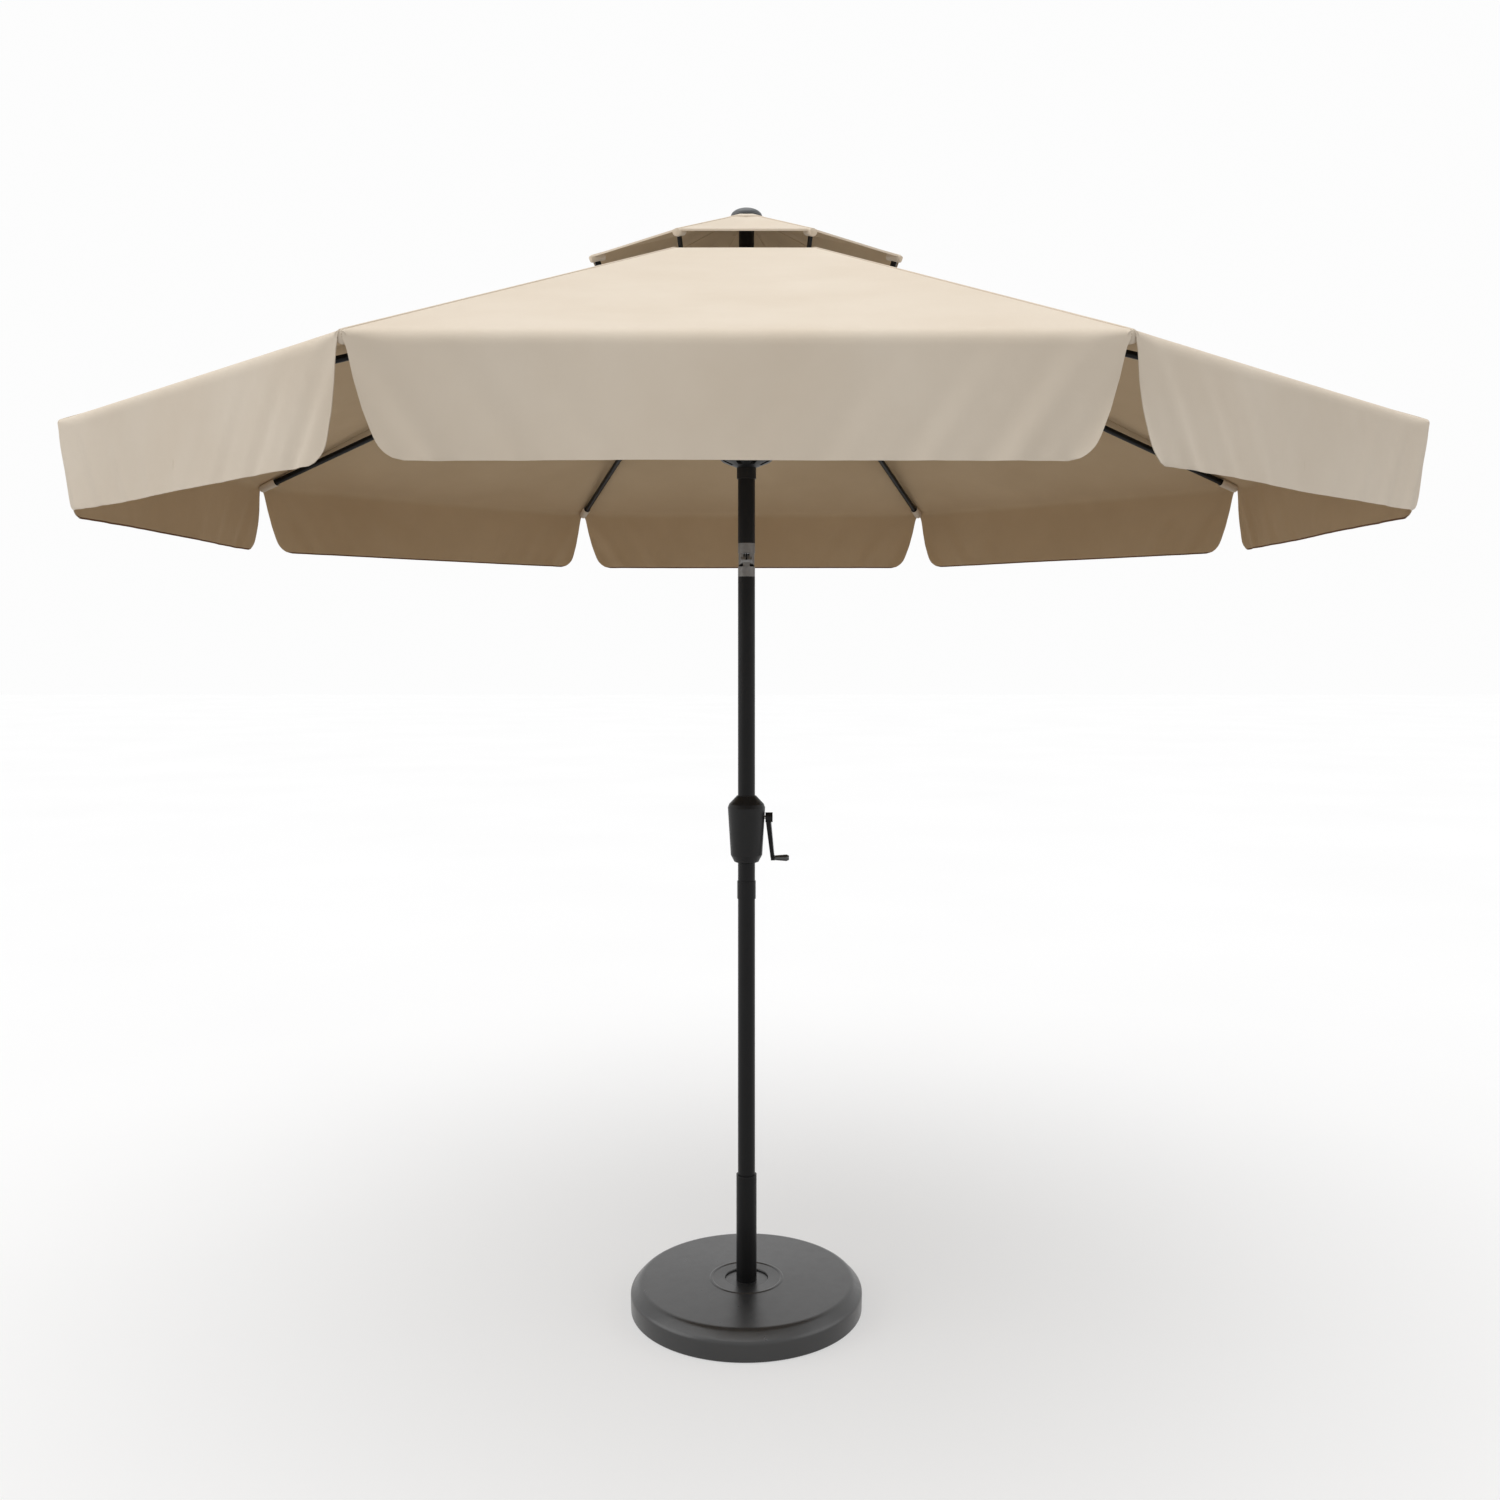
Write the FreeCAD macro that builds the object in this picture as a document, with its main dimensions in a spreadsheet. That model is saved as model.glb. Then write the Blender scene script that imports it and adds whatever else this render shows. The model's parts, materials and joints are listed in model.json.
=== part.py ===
"""Patio umbrella on a round weighted base, with a crank lift and a push-button tilt.

Millimetres. +Z is up, the origin is on the floor at the middle of the base, and -Y is the
front. Eight ribs stand at half-step angles, so a flat side of the canopy faces the front.
Each sub-part is written to parts/NODE.step.
"""
import FreeCAD, Part
import math
import os
import re

import Sketcher

V = FreeCAD.Vector
X_AXIS, Y_AXIS, Z_AXIS = V(1, 0, 0), V(0, 1, 0), V(0, 0, 1)

# ---------------------------------------------------------------- driving sizes

SIZES = {
    # base
    "base_radius": 256, "base_height": 63, "base_wall": 42, "base_chamfer": 20,
    "cover_gauge": 3, "cover_lift": 2, "cover_hole": 48, "ring_radius": 78,
    "ring_width": 6, "ring_height": 1.5, "weight_gauge": 16, "foot_radius": 15,
    "foot_height": 6, "foot_circle": 200, "collar_gauge": 3, "collar_drop": 4,
    # stem
    "stem_wall": 2, "stem_top": 290, "flange_radius": 70, "flange_gauge": 6,
    "bolt_radius": 4, "bolt_head": 7, "bolt_circle": 50, "liner_gauge": 1.45,
    "liner_depth": 30, "lip_height": 2, "knob_drop": 50, "knob_radius": 20,
    "knob_screw": 4, "knob_depth": 18, "nut_radius": 9, "nut_length": 11.5,
    # mast, each stretch above the last
    "pole_radius": 19, "pole_wall": 1.5, "lower_rise": 633.5, "sleeve_length": 39,
    "sleeve_gauge": 1.65, "crank_rise": 160.5, "tilt_rise": 534, "tilt_length": 74,
    "upper_length": 610, "tilt_ear": 14.5, "tongue_width": 14, "tilt_pin": 4,
    "spigot_length": 30, "spigot_bore": 3,
    # crank and its housing
    "housing_fall": 101, "housing_climb": 48, "housing_room": 16, "housing_swell": 6.5,
    "housing_gauge": 2.5, "shoulder_drop": 26, "axle_radius": 4, "bush_radius": 7,
    "drum_radius": 12.6, "drum_flange": 14.5, "drum_width": 14, "arm_length": 90,
    "arm_reach": 10, "hub_radius": 11, "grip_radius": 7, "grip_length": 30,
    "grip_pin": 2.5, "screw_radius": 2, "screw_length": 30,
    # top hub
    "head_half": 16, "rib_pin": 3, "slot_depth": 24, "slot_width": 10, "cord_room": 3,
    "pulley_rim": 2, "pulley_width": 6, "pulley_rise": 10, "cap_gauge": 4, "cap_height": 14,
    "neck_radius": 17, "neck_height": 75, "finial_radius": 35, "finial_height": 22,
    "finial_rise": 133,
    # ribs, struts and runner
    "tip_circle": 1372, "rib_fall": 432, "rib_radius": 7.5, "rib_wall": 1, "eye_radius": 8,
    "eye_width": 8, "eye_reach": 40, "strut_place": 550, "saddle_gap": 0.5,
    "strut_radius": 5, "strut_eye": 5.6, "strut_pin": 2.5, "ear_gauge": 3,
    "prop_length": 12, "prop_gauge": 5, "prop_inset": 4, "ledge_gauge": 6, "ledge_reach": 10,
    "cloth_gap": 0.5, "tip_gap": 6, "tip_length": 22, "runner_fall": 417, "runner_half": 13,
    "runner_wall": 2.1, "runner_length": 50, "runner_gap": 0.5,
    # canopy
    "cloth_gauge": 1.2, "cloth_fall": 492, "cap_gap": 1, "vent_hole": 368, "vent_edge": 356, "vent_rise": 34,
    "crown_edge": 5, "flap_height": 170, "flap_inset": 20, "flap_cutaway": 57,
    # tilt button and lift cord
    "button_radius": 5, "button_rise": 43, "button_proud": 2.5, "cord_radius": 1.25,
    # clearances
    "running_gap": 0.05, "side_gap": 0.4, "face_gap": 0.3,
}
FITS = {  # sizes that follow from others
    "stem_radius": "pole_radius + running_gap + liner_gauge + stem_wall",
    "nut_reach": "stem_radius + nut_length",
    "knob_height": "stem_top - knob_drop",
    "sleeve_radius": "pole_radius + sleeve_gauge",
    "runner_sleeve": "pole_radius + side_gap + runner_wall",
    "joint_height": "stem_top + lower_rise",
    "crank_height": "joint_height + crank_rise",
    "tilt_low": "crank_height + tilt_rise",
    "tilt_high": "tilt_low + tilt_length",
    "button_height": "tilt_high + button_rise",
    "pivot_height": "tilt_high + upper_length",
    "housing_bottom": "crank_height - housing_fall",
    "housing_top": "crank_height + housing_climb",
    "housing_foot": "pole_radius + housing_room",
    "housing_radius": "housing_foot + housing_swell",
    "slot_root": "pole_radius + 14",
    "pivot_circle": "slot_root + slot_depth / 2",
    "head_radius": "slot_root + slot_depth",
    "crown_radius": "head_radius + crown_edge",
    "pulley_radius": "(pole_radius + cord_room) / 2",
    "pulley_flange": "pulley_radius + pulley_rim",
    "finial_top": "pivot_height + finial_rise",
    "tip_height": "pivot_height - rib_fall",
    "strut_drop": "rib_radius + eye_radius + saddle_gap",
    "cloth_rise": "rib_radius + 1 + cap_gap",
    "runner_pivot": "pivot_height - runner_fall",
    "runner_bottom": "runner_pivot - runner_length",
    "runner_slot": "2 * strut_radius + 2 * side_gap",
}
RIB_COUNT = 8
RIB_STEP = 360 / RIB_COUNT
CORD_BEARING = 135  # degrees round from +X, between two ribs and behind the pole

doc = FreeCAD.newDocument("patio_umbrella")
sheet = doc.addObject("Spreadsheet::Sheet", "Sizes")
for row, (alias, number) in enumerate(SIZES.items(), 1):
    sheet.set(f"A{row}", alias.replace("_", " "))
    sheet.set(f"B{row}", str(number))
    sheet.setAlias(f"B{row}", alias)
doc.recompute()

nodes = {}


def size(name):
    """The size of this name, from its cell or worked out from others."""
    return worth(name)


def bound(text):
    """An expression with sizes that follow from others spelled out, and cells as Sizes.name."""
    spelled = re.sub(r"\b[a-z]+(?:_[a-z]+)+\b",
                     lambda word: f"({bound(FITS[word[0]])})" if word[0] in FITS else "Sizes." + word[0],
                     str(text))
    return spelled


def worth(text):
    """What an expression comes to now."""
    return float(sheet.evalExpression(bound(text)))


def node(label, thing):
    """Names a finished sub-part, which is then written to a file of that name."""
    thing.Label = label
    nodes[label] = thing
    return thing


# ---------------------------------------------------------------- ways of making


def turned(label, outline):
    """A body turned about Z: outline is a closed loop of (radius, height) expressions."""
    body = doc.addObject("PartDesign::Body", label + "_body")
    plane = next(o for o in body.Origin.OriginFeatures if o.Role == "XZ_Plane")
    sketch = body.newObject("Sketcher::SketchObject", label + "_outline")
    sketch.AttachmentSupport = [(plane, "")]
    sketch.MapMode = "FlatFace"
    corners = [V(worth(r), worth(z), 0) for r, z in outline]
    count = len(corners)
    for k in range(count):
        sketch.addGeometry(Part.LineSegment(corners[k], corners[(k + 1) % count]), False)
    for k in range(count):
        sketch.addConstraint(Sketcher.Constraint("Coincident", k, 2, (k + 1) % count, 1))
    for k, (radius, height) in enumerate(outline):
        for kind, text in (("DistanceX", radius), ("DistanceY", height)):
            rule = Sketcher.Constraint(kind, -1, 1, k, 1, worth(text))
            place = sketch.addConstraint(rule)
            sketch.setExpression(f"Constraints[{place}]", bound(text))
    spin = body.newObject("PartDesign::Revolution", label + "_turned")
    spin.Profile = sketch
    spin.ReferenceAxis = (sketch, ["V_Axis"])
    spin.Angle = 360
    return body


def tube(label, outer, inner, low, high):
    """A plain ring or tube about Z."""
    return turned(label, [(inner, low), (outer, low), (outer, high), (inner, high)])


def rod(name, radius, length, start, along=Z_AXIS):
    """A cylinder from start, along a direction."""
    piece = doc.addObject("Part::Cylinder", name)
    piece.setExpression("Radius", bound(radius))
    piece.setExpression("Height", bound(length))
    piece.Placement = FreeCAD.Placement(start, FreeCAD.Rotation(Z_AXIS, along))
    return piece


def block(name, lengths, corner, turn=None):
    """A box of three lengths, from its lowest corner, turned about Z by some degrees."""
    piece = doc.addObject("Part::Box", name)
    for side, text in zip(("Length", "Width", "Height"), lengths):
        piece.setExpression(side, bound(text))
    spin = FreeCAD.Rotation(Z_AXIS, turn or 0)
    piece.Placement = FreeCAD.Placement(spin.multVec(corner), spin)
    return piece


def joined(name, pieces):
    """Several overlapping pieces made one solid."""
    fuse = doc.addObject("Part::MultiFuse", name)
    fuse.Shapes = pieces
    return fuse


def without(name, base, tools):
    """A piece with one or more tools cut out of it."""
    cut = doc.addObject("Part::Cut", name)
    cut.Base = base
    cut.Tool = tools[0] if len(tools) == 1 else joined(name + "_tools", tools)
    return cut


def common(name, base, tool):
    """What two pieces share."""
    both = doc.addObject("Part::Common", name)
    both.Base = base
    both.Tool = tool
    return both


def group(name, pieces):
    """Separate solids in one node."""
    compound = doc.addObject("Part::Compound", name)
    compound.Links = pieces
    return compound


def bearing(degrees, radius=1.0, height=0.0):
    """The point at a radius and a height, so many degrees round from +X."""
    angle = math.radians(degrees)
    return V(radius * math.cos(angle), radius * math.sin(angle), height)


def rib_bearing(k):
    """The direction of rib k, counted from 0."""
    return RIB_STEP * (k + 0.5)


# ---------------------------------------------------------------- base


def base():
    """Cover, cast weight, rubber feet and the dark collar round the stem."""
    inside = "base_radius - cover_gauge"
    under = "base_height - cover_gauge"
    raised = "base_height + ring_height"
    cover = turned("base_cover", [
        ("base_radius", "cover_lift"),
        ("base_radius", "base_wall"),
        ("base_radius - base_chamfer", "base_height"),
        ("ring_radius + ring_width / 2", "base_height"),
        ("ring_radius + ring_width / 2", raised),
        ("ring_radius - ring_width / 2", raised),
        ("ring_radius - ring_width / 2", "base_height"),
        ("cover_hole", "base_height"),
        ("cover_hole", under),
        ("base_radius - base_chamfer - cover_gauge / 2", under),
        (inside, "base_wall - cover_gauge / 2"),
        (inside, "cover_lift"),
    ])
    node("base_cover", cover)
    plate = tube("weight", inside, "bolt_radius", "foot_height", "foot_height + weight_gauge")
    top = size("foot_height") + size("weight_gauge")
    depth = "weight_gauge - 2"
    holes = [rod(f"weight_hole_{k}", "bolt_radius", depth,
                 bearing(45 + 90 * k, size("bolt_circle"), top - worth(depth)))
             for k in range(4)]
    node("base_weight", without("weight_drilled", plate, holes))
    feet = [rod(f"foot_{k}", "foot_radius", "foot_height", bearing(45 + 90 * k, size("foot_circle")))
            for k in range(4)]
    node("base_feet", group("feet", feet))
    collar_top = "base_height - collar_drop"
    node("stem_collar", turned("collar", [
        ("stem_radius", collar_top + " - collar_gauge"),
        ("cover_hole - 1", collar_top + " - collar_gauge"),
        ("cover_hole - 1", collar_top),
        ("stem_radius", collar_top),
    ]))


def stem():
    """The welded stem with its bolted flange, its liner and its clamp knob."""
    floor = "foot_height + weight_gauge"
    deck = floor + " + flange_gauge"
    hollow = "stem_radius - stem_wall"
    post = turned("stem", [
        (0, floor),
        ("flange_radius", floor),
        ("flange_radius", deck),
        ("stem_radius", deck),
        ("stem_radius", "stem_top"),
        (hollow, "stem_top"),
        (hollow, deck),
        (0, deck),
    ])
    nut = rod("stem_nut", "nut_radius", "nut_reach - stem_radius + stem_wall / 2",
              V(0, size("stem_radius") - size("stem_wall") / 2, size("knob_height")), Y_AXIS)
    clear = rod("nut_hole", "knob_screw + running_gap", "nut_reach",
                V(0, size("pole_radius") / 2, size("knob_height")), Y_AXIS)
    low = worth(floor)
    bolts, holes = [], []
    for k in range(4):
        place = bearing(45 + 90 * k, size("bolt_circle"))
        shank_low = low - size("weight_gauge") + 2
        shank = rod(f"bolt_shank_{k}", "bolt_radius", "weight_gauge - 2 + flange_gauge + 1",
                    place + V(0, 0, shank_low))
        head = rod(f"bolt_head_{k}", "bolt_head", "bolt_head * 0.7", place + V(0, 0, worth(deck)))
        bolts.append(joined(f"bolt_{k}", [shank, head]))
        holes.append(rod(f"flange_hole_{k}", "bolt_radius", "flange_gauge", place + V(0, 0, low)))
    node("base_stem", without("stem_drilled", joined("stem_with_nut", [post, nut]), [clear] + holes))
    node("stem_bolts", group("bolts", bolts))
    bore = "pole_radius + running_gap"
    node("stem_liner", turned("liner", [
        (bore, "stem_top - liner_depth"),
        (hollow, "stem_top - liner_depth"),
        (hollow, "stem_top"),
        ("stem_radius", "stem_top"),
        ("stem_radius", "stem_top + lip_height"),
        (bore, "stem_top + lip_height"),
    ]))
    tip = worth("pole_radius + face_gap")
    height = size("knob_height")
    screw = rod("knob_screw", "knob_screw", "nut_reach + 6 - pole_radius - face_gap",
                V(0, tip, height), Y_AXIS)
    face = size("nut_reach") + 2
    head = rod("knob_head", "knob_radius - 4", "knob_depth", V(0, face, height), Y_AXIS)
    lobes = []
    for k in range(5):
        turn = bearing(90 + 72 * k, size("knob_radius") - 6)
        lobes.append(rod(f"knob_lobe_{k}", 6, "knob_depth", V(turn.x, face, height + turn.y), Y_AXIS))
    node("stem_knob", joined("knob", [screw, head] + lobes))


# ---------------------------------------------------------------- mast


def mast():
    """The lower and middle poles with the plug, the joint sleeve and the crank's bushes."""
    hollow = "pole_radius - pole_wall"
    floor = "foot_height + weight_gauge + flange_gauge + face_gap"
    seat = floor + " + 3"
    node("pole_foot_plug", turned("foot_plug", [
        (0, floor), ("pole_radius", floor), ("pole_radius", seat),
        (hollow, seat), (hollow, seat + " + 20"), (0, seat + " + 20"),
    ]))
    node("lower_pole", tube("lower", "pole_radius", hollow, seat, "joint_height"))
    node("pole_sleeve", tube("sleeve", "sleeve_radius", "pole_radius",
                             "joint_height - sleeve_length / 2",
                             "joint_height + sleeve_length / 2"))
    middle = tube("middle", "pole_radius", hollow, "joint_height", "tilt_low")
    reach = size("pole_radius") + 5
    across = rod("axle_way", "bush_radius", "2 * pole_radius + 10",
                 V(-reach, 0, size("crank_height")), X_AXIS)
    node("middle_pole", without("middle_drilled", middle, [across]))
    bushes = []
    for side in (-1, 1):
        start = size("pole_radius") - 4 if side > 0 else -size("pole_radius") - 2
        ring = rod(f"bush_ring_{side + 1}", "bush_radius", 6, V(start, 0, size("crank_height")), X_AXIS)
        hole = rod(f"bush_hole_{side + 1}", "axle_radius + running_gap", 8,
                   V(start - 1, 0, size("crank_height")), X_AXIS)
        bushes.append(without(f"bush_{side + 1}", ring, [hole]))
    node("axle_bushes", group("bushes", bushes))


def housing():
    """The crank housing in a front and a rear half, with the screws that hold them."""
    shoulder = "housing_top - shoulder_drop"
    outside = turned("housing_outside", [
        ("pole_radius", "housing_bottom"),
        ("(pole_radius + housing_foot) / 2", "housing_bottom + 3"),
        ("housing_foot", "housing_bottom + 18"),
        ("housing_radius", shoulder),
        ("housing_radius - 3", shoulder + " + 8"),
        ("pole_radius + 2.5", "housing_top"),
        ("pole_radius", "housing_top"),
    ])
    inside = turned("housing_inside", [
        ("pole_radius", "housing_bottom + housing_gauge"),
        ("(pole_radius + housing_foot) / 2 - housing_gauge", "housing_bottom + 3 + housing_gauge"),
        ("housing_foot - housing_gauge", "housing_bottom + 18 + housing_gauge"),
        ("housing_radius - housing_gauge", shoulder),
        ("pole_radius + 2.5", "housing_top - 2 - housing_gauge"),
        ("pole_radius", "housing_top - 2 - housing_gauge"),
    ])
    shell = without("housing_shell", outside, [inside])
    height = size("crank_height")
    axle = rod("housing_axle_hole", "axle_radius + 1", "housing_radius + 20",
               V(size("pole_radius"), 0, height), X_AXIS)
    bosses, screws, ways = [], [], []
    across = size("housing_foot") - 8
    low, high = size("housing_bottom") + 37, size("housing_top") - 34
    for number, (side, place) in enumerate(((-1, low), (1, low), (-1, high), (1, high))):
        at = V(side * across, 0, place)
        bosses.append(rod(f"boss_{number}", "screw_radius + 3", "2 * housing_radius",
                          at - V(0, size("housing_radius"), 0), Y_AXIS))
        shank = rod(f"screw_shank_{number}", "screw_radius", "screw_length", at - V(0, 14, 0),
                    Y_AXIS)
        head = rod(f"screw_head_{number}", "screw_radius + 1.5", 3, at + V(0, 16, 0), Y_AXIS)
        screws.append(joined(f"screw_{number}", [shank, head]))
        ways.append(rod(f"screw_way_{number}", "screw_radius", "screw_length", at - V(0, 14, 0),
                        Y_AXIS))
        ways.append(rod(f"head_way_{number}", "screw_radius + 1.5", 40, at + V(0, 16, 0), Y_AXIS))
    kept = common("bosses_kept", joined("bosses", bosses), outside)
    whole = without("housing_whole", joined("housing_bossed", [shell, kept]), [axle] + ways)
    wide = "2 * housing_radius + 20"
    half = "housing_radius + 10"
    low = size("housing_bottom") - 10
    edge = worth(half)
    tall = "housing_top - housing_bottom + 20"
    front = block("front_space", (wide, half, tall), V(-edge, -edge, low))
    rear = block("rear_space", (wide, half, tall), V(-edge, 0, low))
    node("crank_housing_front", common("housing_front", whole, front))
    node("crank_housing_rear", common("housing_rear", whole, rear))
    node("housing_screws", group("screws", screws))


def crank():
    """The spool on its axle, the cranked arm and the grip that spins on it."""
    height = size("crank_height")
    half = size("drum_width") / 2
    hub_start = size("housing_radius") + 0.5
    drum = rod("drum", "drum_radius", "drum_width", V(-half, 0, height), X_AXIS)
    cheeks = [rod(f"drum_cheek_{k}", "drum_flange", 2, V(start, 0, height), X_AXIS)
              for k, start in enumerate((-half - 2, half))]
    axle_start = -size("pole_radius") - 5
    axle_end = hub_start + 14
    axle = rod("axle", "axle_radius", axle_end - axle_start, V(axle_start, 0, height), X_AXIS)
    node("crank_spool", joined("spool", [drum, axle] + cheeks))
    hub = rod("arm_hub", "hub_radius", 16, V(hub_start, 0, height), X_AXIS)
    bore = rod("arm_bore", "axle_radius", 14, V(hub_start, 0, height), X_AXIS)
    start = V(hub_start + 6, 0, height)
    end = start + V(size("arm_reach"), 0, -size("arm_length"))
    blade = doc.addObject("Part::Wedge", "arm_blade")
    blade.Xmin, blade.Xmax = -5.5, 5.5
    blade.X2min, blade.X2max = -4, 4
    blade.Zmin, blade.Zmax = -7, 7
    blade.Z2min, blade.Z2max = -5, 5
    blade.Ymin, blade.Ymax = 0, (end - start).Length
    blade.Placement = FreeCAD.Placement(start, FreeCAD.Rotation(Y_AXIS, end - start))
    boss = rod("grip_boss", "grip_radius - 1", 9, end - V(4, 0, 0), X_AXIS)
    pin = rod("grip_axle", "grip_pin", "grip_length + 1", end, X_AXIS)
    node("crank_arm", without("arm_bored", joined("arm", [hub, blade, boss, pin]), [bore]))
    grip_start = end + V(5 + size("face_gap"), 0, 0)
    barrel = doc.addObject("Part::Cone", "grip_barrel")
    barrel.setExpression("Radius1", bound("grip_radius - 1.5"))
    barrel.setExpression("Radius2", bound("grip_radius + 0.5"))
    barrel.setExpression("Height", bound("grip_length - 4"))
    barrel.Placement = FreeCAD.Placement(grip_start, FreeCAD.Rotation(Z_AXIS, X_AXIS))
    cap = doc.addObject("Part::Cone", "grip_cap")
    cap.setExpression("Radius1", bound("grip_radius + 0.5"))
    cap.setExpression("Radius2", bound("grip_radius - 2"))
    cap.Height = 5
    cap_start = grip_start + V(size("grip_length") - 4, 0, 0)
    cap.Placement = FreeCAD.Placement(cap_start, FreeCAD.Rotation(Z_AXIS, X_AXIS))
    hole = rod("grip_hole", "grip_pin + running_gap", "grip_length - 1.5",
               grip_start - V(1, 0, 0), X_AXIS)
    node("crank_grip", without("grip_bored", joined("grip", [barrel, cap]), [hole]))


def tilt_joint():
    """The knuckle in two castings on a pair of stub pins, open in the middle for the cord."""
    middle = (size("tilt_low") + size("tilt_high")) / 2
    ear = size("tilt_ear")
    hollow = "pole_radius - pole_wall"
    shell = "pole_radius - 0.1"
    lower_top = "(tilt_low + tilt_high) / 2 - tilt_ear - 0.5"
    upper_low = "(tilt_low + tilt_high) / 2 + tilt_ear + 0.5"
    bore = rod("tilt_cord_way", "spigot_bore", 200, V(0, 0, middle - 100))
    wide = size("tongue_width")
    lower = turned("knuckle_low", [
        (0, "tilt_low - spigot_length"), (hollow, "tilt_low - spigot_length"),
        (hollow, "tilt_low"), (shell, "tilt_low"), (shell, lower_top), (0, lower_top),
    ])
    tongue_disc = rod("tongue_disc", "tilt_ear", "tongue_width", V(-wide / 2, 0, middle), X_AXIS)
    tongue_root = block("tongue_root", ("tongue_width", "2 * tilt_ear - 2", "tilt_ear + 4"),
                        V(-wide / 2, -ear + 1, middle - ear - 4))
    pin_start = size("spigot_bore") + 0.5
    pin_way = rod("tongue_pin_way", "tilt_pin + running_gap", "tongue_width + 10",
                  V(-wide / 2 - 5, 0, middle), X_AXIS)
    swing = block("cord_swing", ("2 * spigot_bore", "tilt_ear + 5 + spigot_bore", "tilt_ear + 5"),
                  V(-size("spigot_bore"), -ear - 5, middle))
    node("tilt_lower_knuckle", without("knuckle_low_cut",
                                       joined("knuckle_low_whole", [lower, tongue_disc, tongue_root]),
                                       [bore, pin_way, swing]))
    button = size("button_height")
    hollow_inner = "pole_radius - pole_wall - 4"
    upper = turned("knuckle_high", [
        (0, upper_low), (shell, upper_low), (shell, "tilt_high"), (hollow, "tilt_high"),
        (hollow, "button_height + 15"), (hollow_inner, "button_height + 15"),
        (hollow_inner, "tilt_high + 8"), (0, "tilt_high + 8"),
    ])
    cheeks = []
    limit = size("pole_radius") - 1.5
    inner = wide / 2 + size("side_gap")
    for side in (-1, 1):
        start = inner if side > 0 else -limit
        thick = f"{limit} - {inner}"
        disc = rod(f"cheek_disc_{side + 1}", "tilt_ear", thick, V(start, 0, middle), X_AXIS)
        root = block(f"cheek_root_{side + 1}", (thick, "2 * tilt_ear - 2", "tilt_ear + 4"),
                     V(start, -ear + 1, middle))
        cheeks += [disc, root]
    round_limit = rod("cheek_limit", "pole_radius - 0.1", 100, V(0, 0, middle - 40))
    kept = common("cheeks_kept", joined("cheeks", cheeks), round_limit)
    pins = []
    pin_holes = []
    for side in (-1, 1):
        start = pin_start if side > 0 else -limit + 1.5
        long = f"{limit - 1.5 - pin_start}"
        pins.append(rod(f"tilt_pin_{side + 1}", "tilt_pin", long, V(start, 0, middle), X_AXIS))
        pin_holes.append(rod(f"cheek_hole_{side + 1}", "tilt_pin", long, V(start, 0, middle), X_AXIS))
    button_way = rod("knuckle_button_way", "button_radius + running_gap", 20,
                     V(0, 6, button), Y_AXIS)
    node("tilt_upper_knuckle", without("knuckle_high_cut",
                                       joined("knuckle_high_whole", [upper, kept]),
                                       [bore, button_way] + pin_holes))
    node("tilt_pins", group("pins", pins))
    tall = tube("upper", "pole_radius", hollow, "tilt_high", "pivot_height - 4")
    pole_way = rod("pole_button_way", "button_radius + running_gap", 20, V(0, 6, button), Y_AXIS)
    node("upper_pole", without("upper_drilled", tall, [pole_way]))
    stem_start = worth("pole_radius - pole_wall - 6")
    proud = worth("pole_radius + button_proud")
    node("tilt_button", rod("button", "button_radius", f"{proud - stem_start}",
                            V(0, stem_start, button), Y_AXIS))
    coil = rod("spring_outside", "button_radius - 1", f"{stem_start - 4}", V(0, 4, button), Y_AXIS)
    core = rod("spring_inside", "button_radius - 2", f"{stem_start - 4}", V(0, 4, button), Y_AXIS)
    node("button_spring", without("spring", coil, [core]))


# ---------------------------------------------------------------- top hub


def tangent(k):
    """The direction square to rib k, level, the way its pins lie."""
    return bearing(rib_bearing(k) + 90)


def pivot_pins(name, radius, height, half):
    """Eight pins across the slots of the hub or of the runner."""
    pins = []
    for k in range(RIB_COUNT):
        middle = bearing(rib_bearing(k), size("pivot_circle"), height)
        pins.append(rod(f"{name}_{k + 1}", radius, f"{2 * half}", middle - tangent(k) * half, tangent(k)))
    return pins


def slots(name, width, low, high):
    """Eight radial slots, open outward and right through from low to high."""
    half = worth(width) / 2
    return [block(f"{name}_{k + 1}", ("head_radius", width, f"{high - low}"),
                  V(size("slot_root"), -half, low), rib_bearing(k)) for k in range(RIB_COUNT)]


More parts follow.
